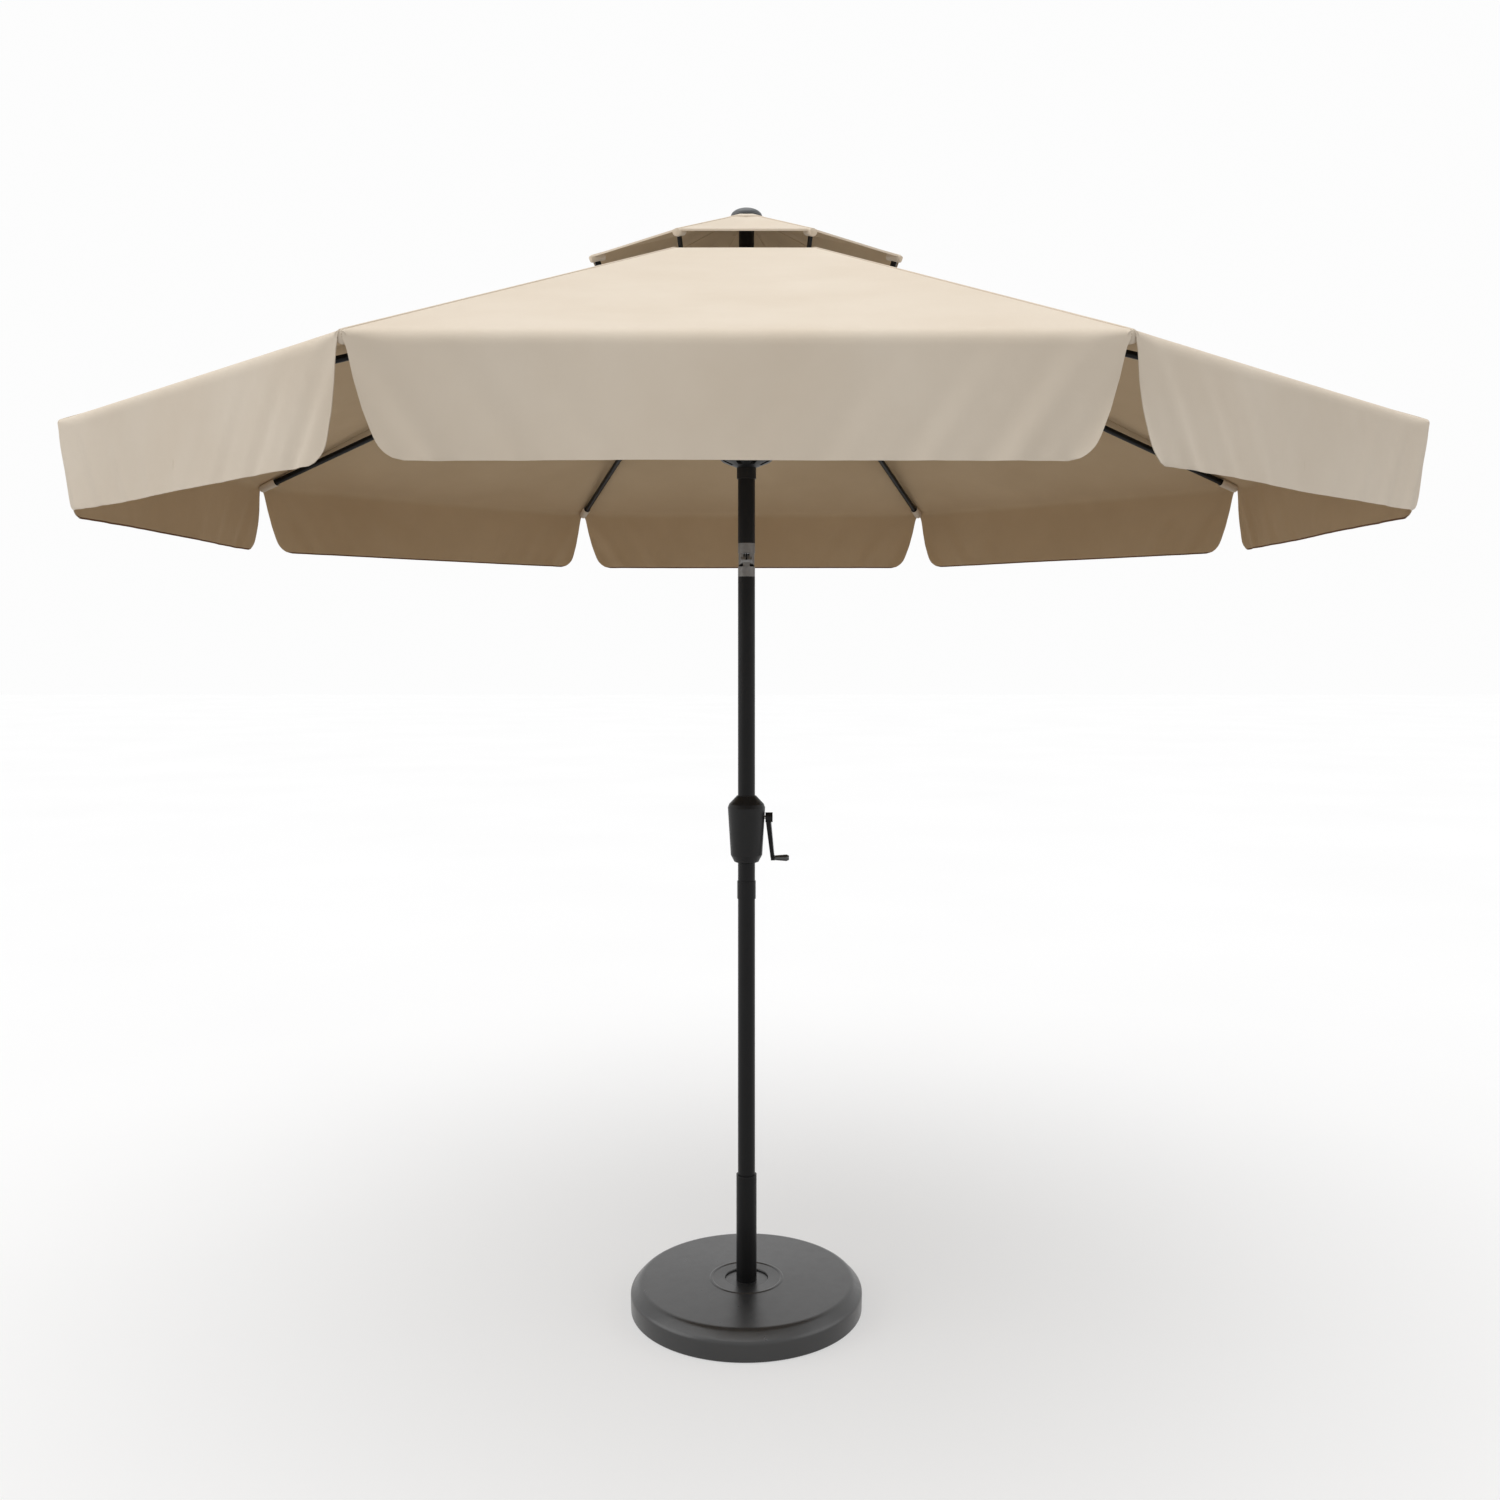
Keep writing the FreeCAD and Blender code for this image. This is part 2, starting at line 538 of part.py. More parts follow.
def top_hub():
    """The slotted hub with its pins and pulley, its cap, the vent's crown and the finial."""
    height = size("pivot_height")
    half = size("head_half")
    low, high = height - half, height + half
    pole_top = "pivot_height - 4"
    disc = turned("hub_disc", [
        ("pole_radius", "pivot_height - head_half"),
        ("head_radius", "pivot_height - head_half"),
        ("head_radius", "pivot_height + head_half"),
        ("spigot_bore", "pivot_height + head_half"),
        ("spigot_bore", pole_top),
        ("pole_radius", pole_top),
    ])
    cuts = slots("hub_slot", "slot_width", low - 1, high + 1)
    cuts += pivot_pins("hub_pin_way", "rib_pin", height, 12)
    wheel = size("pulley_radius")
    wheel_height = height + size("pulley_rise")
    room = "pulley_width + 2"
    cuts.append(block("pulley_room", ("2 * pulley_flange + 4", room, 40),
                      V(wheel - size("pulley_flange") - 2, -worth(room) / 2, worth(pole_top)),
                      CORD_BEARING))
    axle_way = bearing(CORD_BEARING, wheel, wheel_height)
    across = bearing(CORD_BEARING + 90)
    cuts.append(rod("pulley_axle_way", "rib_pin - 1", 20, axle_way - across * 10, across))
    cuts.append(rod("cord_drop_way", "cord_radius + 1", 60,
                    bearing(CORD_BEARING, 2 * wheel, low - 10)))
    node("top_hub", without("hub", disc, cuts))
    axle = rod("pulley_axle", "rib_pin - 1", 20, axle_way - across * 10, across)
    node("hub_pins", group("hub_pin_set", pivot_pins("hub_pin", "rib_pin", height, 12) + [axle]))
    flanges = [rod(f"pulley_rim_{k}", "pulley_flange", 1.2, axle_way + across * start, across)
               for k, start in enumerate((-3, 1.8))]
    core = rod("pulley_core", "pulley_radius - cord_radius - 0.2", "pulley_width",
               axle_way - across * 3, across)
    hole = rod("pulley_hole", "rib_pin - 1 + running_gap", 20, axle_way - across * 10, across)
    node("pulley", without("pulley_bored", joined("pulley_wheel", flanges + [core]), [hole]))
    seat = "pivot_height + head_half"
    roof = seat + " + cap_height"
    node("hub_cap", turned("cap", [
        ("head_radius - cap_gauge", seat),
        ("head_radius", seat),
        ("head_radius", roof + " - 6"),
        ("head_radius - 8", roof),
        ("neck_radius", roof),
        ("neck_radius", roof + " + neck_height"),
        ("rib_pin", roof + " + neck_height"),
        ("rib_pin", roof + " - cap_gauge"),
        ("head_radius - cap_gauge - 6", roof + " - cap_gauge"),
        ("head_radius - cap_gauge", roof + " - cap_gauge - 4"),
    ]))
    apex = "finial_top - finial_height"
    fall = "(crown_radius - neck_radius) * 0.36"
    node("vent_crown", turned("crown", [
        ("neck_radius", apex + " - cloth_gauge"),
        ("neck_radius", apex),
        ("crown_radius", apex + " - " + fall),
        ("crown_radius", apex + " - " + fall + " - cloth_gauge"),
    ]))
    neck_top = roof + " + neck_height"
    node("finial", turned("finial_turned", [
        (0, roof),
        ("rib_pin", roof),
        ("rib_pin", neck_top),
        ("neck_radius", neck_top),
        ("neck_radius", apex + " + face_gap"),
        ("finial_radius", apex + " + face_gap"),
        ("finial_radius", apex + " + finial_height * 0.25"),
        ("finial_radius * 0.93", apex + " + finial_height * 0.5"),
        ("finial_radius * 0.75", apex + " + finial_height * 0.77"),
        ("finial_radius * 0.42", apex + " + finial_height * 0.95"),
        (0, "finial_top"),
    ]))


def lift_cord():
    """The cord from the spool up the mast, over the pulley and down to the runner."""
    middle = (size("tilt_low") + size("tilt_high")) / 2
    start = V(0, size("drum_radius") + size("cord_radius") + 0.2, size("crank_height"))
    end = V(0, 0, middle - 30)
    slant = rod("cord_slant", "cord_radius", f"{(end - start).Length}", start, end - start)
    rise = rod("cord_rise", "cord_radius", 29, end)
    node("lift_cord_mast", joined("cord_mast", [slant, rise]))
    wheel = size("pulley_radius")
    height = worth("pivot_height + pulley_rise")
    out = bearing(CORD_BEARING)
    top = V(0, 0, height)
    arc = Part.Arc(top, out * wheel + V(0, 0, height + wheel), out * 2 * wheel + V(0, 0, height))
    path = Part.Wire([Part.makeLine(V(0, 0, middle + 1), top), arc.toShape()])
    ring = Part.Wire([Part.makeCircle(size("cord_radius"), V(0, 0, middle + 1), Z_AXIS)])
    loop = doc.addObject("Part::Feature", "cord_loop")
    loop.Shape = path.makePipeShell([ring], True, True)
    node("lift_cord_head", loop)
    foot = worth("runner_pivot + runner_half + face_gap")
    node("lift_cord_drop", rod("cord_drop", "cord_radius", f"{height - foot}",
                               out * 2 * wheel + V(0, 0, foot)))


# ---------------------------------------------------------------- ribs, struts and runner


def rib_slope():
    """The angle of a rib below level, in degrees."""
    fall = size("pivot_height") - size("tip_height")
    return math.degrees(math.atan2(fall, size("tip_circle") - size("pivot_circle")))


def rib_length():
    """From the hub's pin to the tip."""
    fall = size("pivot_height") - size("tip_height")
    return math.hypot(fall, size("tip_circle") - size("pivot_circle"))


def rib_place(k):
    """The frame of rib k: X along the rib from its hub pin, Z square to it and up."""
    turn = FreeCAD.Rotation(Z_AXIS, rib_bearing(k)).multiply(FreeCAD.Rotation(Y_AXIS, rib_slope()))
    pivot = bearing(rib_bearing(k), size("pivot_circle"), size("pivot_height"))
    return FreeCAD.Placement(pivot, turn)


def cloth_slope():
    """The angle of the cloth's ridges below level, steeper than the ribs under them."""
    return math.atan2(size("cloth_fall"), worth("tip_circle - pivot_circle"))


def ridge(k, radius, rise):
    """A point over rib k, at a radius, so far above the cloth's line through the rib's tip."""
    slope = cloth_slope()
    height = size("tip_height") + (size("tip_circle") - radius) * math.tan(slope)
    return bearing(rib_bearing(k), radius, height + rise / math.cos(slope))


def under_cloth(radius, rise):
    """In a rib's frame, how far along and how high the cloth's underside is at a radius."""
    slope = math.radians(rib_slope())
    reach = radius - size("pivot_circle")
    climb = ridge(0, radius, rise).z - size("cloth_gap") - size("pivot_height")
    return (reach * math.cos(slope) - climb * math.sin(slope),
            reach * math.sin(slope) + climb * math.cos(slope))


def rib(k):
    """A tube with a flat eye at the hub, a bracket for its strut, a vent prop and a tip."""
    length = rib_length()
    name = f"rib_{k + 1}_"
    reach = size("eye_reach")
    half = size("eye_width") / 2
    eye = rod(name + "eye", "eye_radius", "eye_width", V(0, half, 0), V(0, -1, 0))
    neck = block(name + "neck", ("eye_reach", "eye_width", "2 * eye_radius - 4"),
                 V(0, -half, 2 - size("eye_radius")))
    end = length - size("tip_gap")
    cap = end - size("tip_length")
    spar = rod(name + "spar", "rib_radius", f"{end - reach}", V(reach - 6, 0, 0), X_AXIS)
    core = rod(name + "core", "rib_radius - rib_wall", f"{cap - reach}", V(reach + 2, 0, 0), X_AXIS)
    tip = rod(name + "tip", "rib_radius + 1", "tip_length", V(cap, 0, 0), X_AXIS)
    at = size("strut_place")
    drop = size("strut_drop")
    inner = worth("strut_eye / 2 + side_gap")
    gauge = size("ear_gauge")
    ears = []
    for side in (-1, 1):
        start = inner if side > 0 else -inner - gauge
        ears.append(block(f"{name}ear_{side + 1}", (18, "ear_gauge", "strut_drop + 3"),
                          V(at - 9, start, -drop - 5)))
    saddle = block(name + "saddle", (18, f"{2 * (inner + gauge)}", 3),
                   V(at - 9, -inner - gauge, -size("rib_radius") - 1))
    pin = rod(name + "pin", "strut_pin", f"{2 * (inner + gauge)}",
              V(at, inner + gauge, -drop), V(0, -1, 0))
    gauge_half = size("prop_gauge") / 2
    prop_end, prop_top = under_cloth(worth("vent_edge - prop_inset"), worth("cloth_rise + vent_rise"))
    prop_start = prop_end - size("prop_length")
    prop = block(name + "prop", ("prop_length", "prop_gauge", f"{prop_top}"),
                 V(prop_start, -gauge_half, 0))
    ledge_end, ledge_top = under_cloth(worth("vent_hole + ledge_reach"), worth("cloth_rise"))
    ledge = block(name + "ledge", (f"{ledge_end - prop_start}", "prop_gauge", "ledge_gauge"),
                  V(prop_start, -gauge_half, ledge_top - size("ledge_gauge")))
    whole = joined(name + "joined", [eye, neck, spar, tip, saddle, pin, prop, ledge] + ears)
    bore = rod(name + "bore", "rib_pin + running_gap", 20, V(0, 10, 0), V(0, -1, 0))
    piece = without(name + "cut", whole, [bore, core])
    piece.Placement = rib_place(k)
    node(f"rib_{k + 1}", piece)


def strut(k):
    """A tube with a flat eye at each end, from the rib's bracket to the runner."""
    turn = math.radians(rib_slope())
    along, under = size("strut_place"), size("strut_drop")
    radius = size("pivot_circle") + along * math.cos(turn) - under * math.sin(turn)
    height = size("pivot_height") - along * math.sin(turn) - under * math.cos(turn)
    run = size("pivot_circle") - radius
    fall = size("runner_pivot") - height
    length = math.hypot(run, fall)
    name = f"strut_{k + 1}_"
    half = size("strut_eye") / 2
    eyes = [rod(f"{name}eye_{n}", "eye_radius - 1", "strut_eye", V(at, half, 0), V(0, -1, 0))
            for n, at in enumerate((0, length))]
    necks = [block(f"{name}neck_{n}", (30, "strut_eye", "2 * strut_radius - 2"),
                   V(at, -half, 1 - size("strut_radius"))) for n, at in enumerate((0, length - 30))]
    spar = rod(name + "spar", "strut_radius", f"{length - 48}", V(24, 0, 0), X_AXIS)
    core = rod(name + "core", "strut_radius - rib_wall", f"{length - 60}", V(30, 0, 0), X_AXIS)
    bore = rod(name + "bore", "strut_pin + running_gap", 20, V(0, 10, 0), V(0, -1, 0))
    open_bore = rod(name + "open_bore", "strut_pin + runner_gap", 20, V(length, 10, 0), V(0, -1, 0))
    whole = joined(name + "joined", eyes + necks + [spar])
    piece = without(name + "cut", whole, [bore, open_bore, core])
    slope = math.degrees(math.atan2(fall, run))
    spin = FreeCAD.Rotation(Z_AXIS, rib_bearing(k)).multiply(FreeCAD.Rotation(Y_AXIS, -slope))
    piece.Placement = FreeCAD.Placement(bearing(rib_bearing(k), radius, height), spin)
    node(f"strut_{k + 1}", piece)


def runner():
    """The slotted runner on the pole, with a channel behind for the tilt button to pass."""
    height = size("runner_pivot")
    half = size("runner_half")
    bore = "pole_radius + side_gap"
    low = "runner_pivot - runner_half"
    high = "runner_pivot + runner_half"
    body = turned("runner_body", [
        (bore, "runner_bottom"),
        ("runner_sleeve", "runner_bottom"),
        ("runner_sleeve", low + " - 12"),
        ("head_radius - 5", low),
        ("head_radius", low + " + 4"),
        ("head_radius", high),
        (bore, high),
    ])
    cuts = slots("runner_slot", "runner_slot", height - half - 30, height + half + 1)
    cuts += pivot_pins("runner_pin_way", "strut_pin", height, 12)
    cuts.append(block("button_channel", ("2 * button_radius + 4", "button_proud + 1.5 + 10", 200),
                      V(-size("button_radius") - 2, size("pole_radius") - 10,
                        size("runner_bottom") - 10)))
    node("runner_hub", without("runner", body, cuts))
    node("runner_pins", group("runner_pin_set", pivot_pins("runner_pin", "strut_pin", height, 12)))


# ---------------------------------------------------------------- canopy


def plate(corners, thick):
    """A flat sheet with these corners, thickened to one side."""
    face = Part.Face(Part.makePolygon(corners + corners[:1]))
    normal = face.normalAt(0, 0)
    if normal.z < -0.01:
        normal = normal * -1
    return face.extrude(normal * thick)


def toward(start, end, step):
    """The point a step from start on the way to end."""
    return start + (end - start).normalize() * step


def half_panel(k, side, inner, outer, rise):
    """One half of a panel: from rib k to the middle of the gap beside it."""
    near_in, near_out = ridge(k, inner, rise), ridge(k, outer, rise)
    far_in, far_out = ridge(k + side, inner, rise), ridge(k + side, outer, rise)
    gap = size("face_gap")
    mid_in, mid_out = (near_in + far_in) * 0.5, (near_out + far_out) * 0.5
    corners = [toward(near_in, far_in, gap), toward(near_out, far_out, gap),
               toward(mid_out, near_out, gap), toward(mid_in, near_in, gap)]
    return plate(corners, size("cloth_gauge"))


def half_flap(k, side, rise):
    """One half of a hanging flap, cut away towards the rib's tip."""
    near, far = ridge(k, size("tip_circle"), rise), ridge(k + side, size("tip_circle"), rise)
    middle = (near + far) * 0.5
    hang = V(0, 0, -size("flap_height"))
    down = V(0, 0, -size("face_gap"))
    gap = size("face_gap")
    corners = [toward(near, far, size("flap_inset")) + down,
               toward(middle, near, gap) + down,
               toward(middle, near, gap) + hang,
               toward(near, far, size("flap_cutaway")) + hang]
    outward = V(middle.x, middle.y, 0).normalize()
    face = Part.Face(Part.makePolygon(corners + corners[:1]))
    return face.extrude(outward * -size("cloth_gauge"))


def canopy(k):
    """The cloth carried by rib k: half of each panel, flap and vent panel beside it."""
    rise = size("cloth_rise")
    vent_rise = rise + size("vent_rise")
    pieces = []
    for side in (-1, 1):
        pieces.append(half_panel(k, side, size("vent_hole"), size("tip_circle"), rise))
        pieces.append(half_flap(k, side, rise))
        pieces.append(half_panel(k, side, size("crown_radius") + 4, size("vent_edge"), vent_rise))
    cloth = doc.addObject("Part::Feature", f"cloth_{k + 1}")
    cloth.Shape = Part.makeCompound(pieces)
    node(f"canopy_{k + 1}", cloth)


# ---------------------------------------------------------------- build, test and write

base()
stem()
mast()
housing()
crank()
tilt_joint()
top_hub()
lift_cord()
runner()
for number in range(RIB_COUNT):
    rib(number)
    strut(number)
    canopy(number)
doc.recompute()

for thing in doc.Objects:
    if "Invalid" in thing.State or "Error" in thing.State:
        raise RuntimeError(f"{thing.Name} failed: {thing.State}")
os.makedirs("parts", exist_ok=True)
for label, thing in nodes.items():
    shape = thing.Shape
    if shape.isNull() or not shape.isValid() or not shape.Solids:
        raise RuntimeError(f"{label} has no valid solid")
    shape.exportStep(f"parts/{label}.step")
    print(f"{label}: {len(shape.Solids)} solids, {shape.Volume / 1000:.2f} cm3")
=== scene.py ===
"""The looks of a patio umbrella with a sand canopy, a near-black mast and a round black base.

Metres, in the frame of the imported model: +Z up, the floor at 0, and -Y to the front.
"""
import json
import math

import bmesh
import bpy
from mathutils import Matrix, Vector


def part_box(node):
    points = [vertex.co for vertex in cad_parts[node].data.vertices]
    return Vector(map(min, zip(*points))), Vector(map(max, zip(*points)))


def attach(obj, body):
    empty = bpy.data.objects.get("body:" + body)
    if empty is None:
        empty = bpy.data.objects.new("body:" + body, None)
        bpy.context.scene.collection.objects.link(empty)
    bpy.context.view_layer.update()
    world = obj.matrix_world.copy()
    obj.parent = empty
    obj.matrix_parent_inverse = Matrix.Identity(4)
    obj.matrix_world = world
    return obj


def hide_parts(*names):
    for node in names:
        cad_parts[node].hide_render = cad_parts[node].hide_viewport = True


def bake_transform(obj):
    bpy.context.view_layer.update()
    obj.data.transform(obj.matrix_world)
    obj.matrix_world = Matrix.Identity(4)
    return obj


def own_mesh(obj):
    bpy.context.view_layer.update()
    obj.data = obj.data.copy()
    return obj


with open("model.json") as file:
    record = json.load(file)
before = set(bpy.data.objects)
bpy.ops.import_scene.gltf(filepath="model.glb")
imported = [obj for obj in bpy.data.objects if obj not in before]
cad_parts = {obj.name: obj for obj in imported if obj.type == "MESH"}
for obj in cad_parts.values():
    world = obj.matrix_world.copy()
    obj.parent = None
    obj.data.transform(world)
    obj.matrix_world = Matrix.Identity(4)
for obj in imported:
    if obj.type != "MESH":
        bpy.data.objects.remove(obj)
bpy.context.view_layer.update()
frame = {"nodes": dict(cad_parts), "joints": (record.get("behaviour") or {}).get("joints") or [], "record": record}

# ---------------------------------------------------------------- sizes

RIBS = 8
STEP = 2 * math.pi / RIBS
RIB_PIVOT = Vector(next(j for j in frame["joints"] if j["name"] == "rib_1_fold")["pos_m"])
PIVOT_RADIUS = math.hypot(RIB_PIVOT.x, RIB_PIVOT.y)
PIVOT_HEIGHT = RIB_PIVOT.z
TIP_RADIUS = 1.372  # of a rib's tip, on its centre line
TIP_HEIGHT = 1.870
SLOPE = math.atan2(PIVOT_HEIGHT - TIP_HEIGHT, TIP_RADIUS - PIVOT_RADIUS)  # of a rib
CLOTH_FALL = 0.492  # how far the cloth's line falls from over the hub's pins to the tips
CLOTH_SLOPE = math.atan2(CLOTH_FALL, TIP_RADIUS - PIVOT_RADIUS)
CLOTH_RISE = 0.0095  # from the rib's tip to the cloth over it
CLOTH_GAUGE = 0.0011  # drawn thicker than the real cloth
VENT_HOLE = 0.368  # radius of the main cloth's hole, along a rib
VENT_EDGE = 0.356  # radius of the vent tier's outer corners
VENT_RISE = 0.034  # from the main cloth's line to the vent tier's
VENT_INNER = 0.055  # where the vent tier starts, under the crown
CROWN_INNER = 0.028
CROWN_EDGE = 0.078
CROWN_LIFT = 0.002  # of the crown over the vent tier
CROWN_TURN = 0.003  # how far the crown's edge is turned down
FLAP_DROP = 0.172
VENT_DROP = 0.004
CORNER = 0.026  # radius of a flap's lower corners
SEAM_WIDTH = 0.005
SEAM_GAUGE = 0.0011  # how far a felled seam stands proud
HEM_WIDTH = 0.0035
CREASE = 50  # degrees; cloth is shaded smooth up to here

# ---------------------------------------------------------------- materials


class Nodes:
    """A material being made, with short calls for its nodes."""

    def __init__(self, name):
        self.material = bpy.data.materials.new(name)
        self.material.use_nodes = True
        self.tree = self.material.node_tree
        self.shader = self.tree.nodes["Principled BSDF"]
        self.place = self.add("ShaderNodeTexCoord").outputs["Object"]

    def add(self, kind, **values):
        made = self.tree.nodes.new(kind)
        for key, value in values.items():
            setattr(made, key, value)
        return made

    def link(self, start, end):
        self.tree.links.new(start, end)

    def noise(self, scale, detail=4.0, rough=0.55, stretch=None):
        made = self.add("ShaderNodeTexNoise")
        made.inputs["Scale"].default_value = scale
        made.inputs["Detail"].default_value = detail
        made.inputs["Roughness"].default_value = rough
        place = self.place
        if stretch:
            bend = self.add("ShaderNodeMapping")
            bend.inputs["Scale"].default_value = stretch
            self.link(place, bend.inputs["Vector"])
            place = bend.outputs["Vector"]
        self.link(place, made.inputs["Vector"])
        return made.outputs["Fac"]

    def ramp(self, source, stops):
        made = self.add("ShaderNodeValToRGB")
        steps = made.color_ramp.elements
        while len(steps) < len(stops):
            steps.new(0.5)
        for step, (at, colour) in zip(steps, stops):
            step.position = at
            step.color = (*colour, 1)
        self.link(source, made.inputs["Fac"])
        return made.outputs["Color"]

    def maths(self, kind, a, b=None):
        made = self.add("ShaderNodeMath", operation=kind)
        for slot, value in zip(made.inputs, (a, b)):
            if value is None:
                continue
            if isinstance(value, (int, float)):
                slot.default_value = value
            else:
                self.link(value, slot)
        return made.outputs[0]

    def mixed(self, share, a, b):
        made = self.add("ShaderNodeMix", data_type="RGBA")
        self.link(share, made.inputs[0])
        for slot, value in ((made.inputs[6], a), (made.inputs[7], b)):
            if isinstance(value, tuple):
                slot.default_value = (*value, 1)
            else:
                self.link(value, slot)
        return made.outputs[2]

    def range(self, source, low, high):
        made = self.add("ShaderNodeMapRange")
        made.inputs["To Min"].default_value = low
        made.inputs["To Max"].default_value = high
        self.link(source, made.inputs["Value"])
        return made.outputs["Result"]

    def bump(self, height, distance, strength=1.0, under=None):
        made = self.add("ShaderNodeBump")
        made.inputs["Distance"].default_value = distance
        made.inputs["Strength"].default_value = strength
        self.link(height, made.inputs["Height"])
        if under is not None:
            self.link(under, made.inputs["Normal"])
        self.link(made.outputs["Normal"], self.shader.inputs["Normal"])
        return made.outputs["Normal"]


def linear(r, g, b):
    """A colour as seen on a screen, from 0 to 255, in linear light."""
    return tuple((c / 255) ** 2.2 for c in (r, g, b))


THREADS = 900  # a metre, each way
STITCHES = 260  # a metre
STITCH_SHARE = 0.68  # of each stitch's step that shows thread
STITCH_LINE = SEAM_WIDTH - 0.0006  # from the rib
STITCH_HALF = 0.0007
STITCH_COLOUR = linear(150, 128, 100)


def woven(name, light, dark, sheen):
    """Plain-weave polyester with a stitched seam beside each rib."""
    m = Nodes(name)
    cloth = m.add("ShaderNodeUVMap", uv_map="cloth").outputs["UV"]
    parts = m.add("ShaderNodeSeparateXYZ")
    m.link(cloth, parts.inputs["Vector"])
    across, along = parts.outputs["X"], parts.outputs["Y"]
    blotch = m.ramp(m.noise(3.5, 5), [(0.3, dark), (0.7, light)])
    slub = m.noise(160, 2, 0.6, (1, 1, 0.15))
    fibre = m.mixed(m.range(slub, 0.0, 0.22), blotch, dark)
    warp = m.maths("SINE", m.maths("MULTIPLY", across, 2 * math.pi * THREADS))
    weft = m.maths("SINE", m.maths("MULTIPLY", along, 2 * math.pi * THREADS))
    thread = m.maths("MULTIPLY", warp, weft)
    away = m.maths("ABSOLUTE", m.maths("SUBTRACT", across, STITCH_LINE))
    near = m.maths("LESS_THAN", away, STITCH_HALF)
    dash = m.maths("LESS_THAN", m.maths("FRACT", m.maths("MULTIPLY", along, STITCHES)), STITCH_SHARE)
    stitch = m.maths("MULTIPLY", near, dash)
    colour = m.mixed(m.maths("MULTIPLY", stitch, 0.45), fibre, STITCH_COLOUR)
    m.link(colour, m.shader.inputs["Base Color"])
    m.link(m.range(m.noise(40, 3), 0.78, 0.94), m.shader.inputs["Roughness"])
    m.shader.inputs["Sheen Weight"].default_value = sheen
    m.shader.inputs["Sheen Roughness"].default_value = 0.5
    m.shader.inputs["Specular IOR Level"].default_value = 0.25
    puckers = m.bump(m.noise(26, 4, 0.6), 0.0012, 0.35)
    m.bump(thread, 0.00012, 0.5, puckers)
    return m.material


def coated(name, colour, rough, grain, gloss=0.5, coat=0.0, bright=1.7, wear=0.0):
    """Powder coat or moulded plastic: fine grain, uneven gloss, and slightly paler rubbed places."""
    m = Nodes(name)
    pale = tuple(min(1.0, c * bright + 0.002) for c in colour)
    base = m.ramp(m.noise(9, 6), [(0.35, colour), (0.75, pale)])
    if wear:
        edge = m.add("ShaderNodeNewGeometry").outputs["Pointiness"]
        worn = m.ramp(edge, [(0.52, (0, 0, 0)), (0.62, (wear, wear, wear))])
        base = m.mixed(worn, base, tuple(min(1.0, c * 5 + 0.02) for c in colour))
    m.link(base, m.shader.inputs["Base Color"])
    m.link(m.range(m.noise(55, 5), rough - 0.07, rough + 0.09), m.shader.inputs["Roughness"])
    m.shader.inputs["Specular IOR Level"].default_value = gloss
    m.shader.inputs["Coat Weight"].default_value = coat
    m.shader.inputs["Coat Roughness"].default_value = 0.2
    m.bump(m.noise(grain, 3, 0.6), 0.0002, 0.35)
    return m.material


def metal(name, colour, rough, grain, stretch):
    """Bare or painted metal with drawn or cast marks."""
    m = Nodes(name)
    pale = tuple(min(1.0, c * 1.35) for c in colour)
    m.link(m.ramp(m.noise(grain / 4, 5, 0.6, stretch), [(0.3, colour), (0.7, pale)]),
           m.shader.inputs["Base Color"])
    m.shader.inputs["Metallic"].default_value = 0.9
    m.link(m.range(m.noise(grain, 4, 0.6, stretch), rough - 0.08, rough + 0.12),
           m.shader.inputs["Roughness"])
    m.bump(m.noise(grain, 4, 0.6, stretch), 0.00015, 0.4)
    return m.material


CLOTH = woven("sand_cloth", linear(231, 218, 200), linear(223, 208, 188), 0.1)
# Inside faces take a darker copy of the sand cloth: painted shade for the underside that the light doesn't reach.
SHADED_INSIDE_CLOTH = woven("sand_cloth_painted_shade_inside", linear(212, 186, 151), linear(200, 173, 138), 0.0)
HEM = woven("hem_binding", linear(134, 100, 76), linear(112, 82, 60), 0.0)

SLOTS = {
    "base_resin": coated("base_resin", (0.016, 0.016, 0.0165), 0.3, 900, 0.75, 0.0, 1.3),
    "cast_weight": coated("cast_weight", (0.06, 0.058, 0.055), 0.75, 260, 0.3),
    "rubber": coated("rubber", (0.015, 0.015, 0.015), 0.8, 500, 0.3),
    "powder_coat": coated("powder_coat", (0.0045, 0.0045, 0.0047), 0.36, 1100, 0.16, 0.0, 1.6, 0.12),
    "bare_steel": metal("bare_steel", (0.42, 0.42, 0.41), 0.32, 320, (1, 1, 0.1)),
    "black_plastic": coated("black_plastic", (0.007, 0.007, 0.0073), 0.42, 1300, 0.24),
    "grip_plastic": coated("grip_plastic", (0.01, 0.01, 0.01), 0.16, 700, 0.6, 0.6),
    "knuckle_alloy": metal("knuckle_alloy", (0.17, 0.165, 0.16), 0.36, 240, (1, 1, 1)),
    "finial_plastic": coated("finial_plastic", (0.036, 0.04, 0.044), 0.45, 1000, 0.5, 0.2),
    "cord": coated("cord", (0.015, 0.015, 0.015), 0.85, 1800, 0.2),
    "canopy_cloth": CLOTH,
}


# ---------------------------------------------------------------- ways of making


def rib_direction(k):
    """The level direction of rib k, counted from 0."""
    angle = STEP * (k + 0.5)
    return Vector((math.cos(angle), math.sin(angle), 0))


def ridge(k, radius, rise):
    """The point over rib k at a radius, so far above the cloth's line through the rib's tip."""
    height = TIP_HEIGHT + (TIP_RADIUS - radius) * math.tan(CLOTH_SLOPE) + rise / math.cos(CLOTH_SLOPE)
    return rib_direction(k) * radius + Vector((0, 0, height))


def shown(name, bm, materials, sharp):
    """A mesh object from a bmesh, smooth but for the edges sharper than an angle."""
    mesh = bpy.data.meshes.new(name)
    bm.to_mesh(mesh)
    bm.free()
    for material in materials:
        mesh.materials.append(material)
    mesh.polygons.foreach_set("use_smooth", [True] * len(mesh.polygons))
    mesh.set_sharp_from_angle(angle=math.radians(sharp))
    made = bpy.data.objects.new(name, mesh)
    bpy.context.scene.collection.objects.link(made)
    return made


